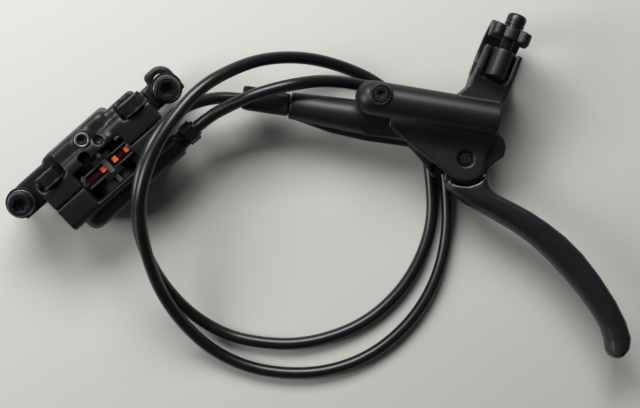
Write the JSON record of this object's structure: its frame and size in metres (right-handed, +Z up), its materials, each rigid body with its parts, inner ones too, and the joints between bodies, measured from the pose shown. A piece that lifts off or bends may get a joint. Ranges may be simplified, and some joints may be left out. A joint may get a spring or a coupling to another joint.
{
  "type": "hydraulic disc brake",
  "caption": "Bicycle hydraulic disc brake set: lever with master cylinder and bar clamp, looped hose and twin-piston caliper, lying on a table.",
  "frame": {"origin": "centre of the bottom of the bounding box of the two units without the hose, on the table", "axes": "+X to the right along the longest side, +Y away from the viewer, +Z up from the table"},
  "size_m": [0.2522, 0.1486, 0.0467],
  "materials": {
    "bare_aluminium": "machined",
    "bare_steel": "zinc plated steel",
    "black_blade": "satin black",
    "black_rubber": "black rubber",
    "black_steel": "blackened steel",
    "brass": "turned brass",
    "bush_plastic": "self lubricating bush",
    "hose_cover": "smooth black hose cover",
    "lining": "friction compound",
    "piston_resin": "moulded piston",
    "satin_black_cast": "satin black anodised casting",
    "spacer_red": "orange-red plastic"
  },
  "bodies": {
    "brake_set": {"lever_body": "satin_black_cast", "clamp_cap": "satin_black_cast", "clamp_hinge_pin": "bare_steel", "clamp_bolt": "black_steel", "pivot_pin": "black_steel", "master_spring": "bare_steel", "piston_retainer": "bare_steel", "dust_boot": "black_rubber", "reservoir_bladder": "black_rubber", "reservoir_plug": "satin_black_cast", "lever_bleed_screw": "black_steel", "lever_bleed_seal": "black_rubber", "lever_hose_nut": "black_steel", "lever_olive": "brass", "lever_hose_insert": "bare_steel", "hose_boot": "black_rubber", "brake_hose": "hose_cover", "caliper_inner_half": "satin_black_cast", "caliper_outer_half": "satin_black_cast", "body_bolt_rear": "black_steel", "body_bolt_front": "black_steel", "crossover_seal": "black_rubber", "piston_seal_inner": "black_rubber", "piston_seal_outer": "black_rubber", "pad_spring": "bare_steel", "pad_pin": "bare_steel", "pad_spacer": "spacer_red", "caliper_bleed_screw": "bare_aluminium", "inlet_fitting": "black_steel", "caliper_hose_nut": "black_steel", "caliper_olive": "brass", "caliper_hose_insert": "bare_steel", "mount_bolt_rear": "black_steel", "mount_bolt_front": "black_steel", "mount_dome_rear": "bare_steel", "mount_dome_front": "bare_steel", "mount_cup_rear": "black_steel", "mount_cup_front": "black_steel"},
    "blade": {"lever_blade": "black_blade", "reach_screw": "black_steel", "pivot_bush_upper": "bush_plastic", "pivot_bush_lower": "bush_plastic"},
    "plunger": {"master_piston": "bare_aluminium", "primary_cup": "black_rubber", "secondary_cup": "black_rubber", "push_rod": "bare_steel"},
    "pad_inner": {"piston_inner": "piston_resin", "pad_plate_inner": "black_steel", "pad_lining_inner": "lining"},
    "pad_outer": {"piston_outer": "piston_resin", "pad_plate_outer": "black_steel", "pad_lining_outer": "lining"}
  },
  "joints": [
    {"name": "lever_pull", "type": "hinge", "parent": "brake_set", "child": "blade", "pos_m": [0.0576, 0.0112, 0.0152], "axis": [0, 0, 1], "range_deg": [0, 25], "stiffness_Nm_per_rad": 0.5, "springref_deg": -11.46},
    {"name": "plunger_slide", "type": "slide", "parent": "brake_set", "child": "plunger", "axis": [-0.9863, 0.165, 0], "range_m": [0, 0.0045], "deforming": ["master_spring"]},
    {"name": "pad_inner_slide", "type": "slide", "parent": "brake_set", "child": "pad_inner", "axis": [0.6481, -0.7326, -0.2079], "range_m": [0, 0.00026]},
    {"name": "pad_outer_slide", "type": "slide", "parent": "brake_set", "child": "pad_outer", "axis": [-0.6481, 0.7326, 0.2079], "range_m": [0, 0.00026]}
  ],
  "couplings": [
    {"joint": "plunger_slide", "follows": "lever_pull", "m_per_rad": 0.01},
    {"joint": "pad_inner_slide", "follows": "lever_pull", "m_per_rad": 0.000573},
    {"joint": "pad_outer_slide", "follows": "lever_pull", "m_per_rad": 0.000573}
  ]
}
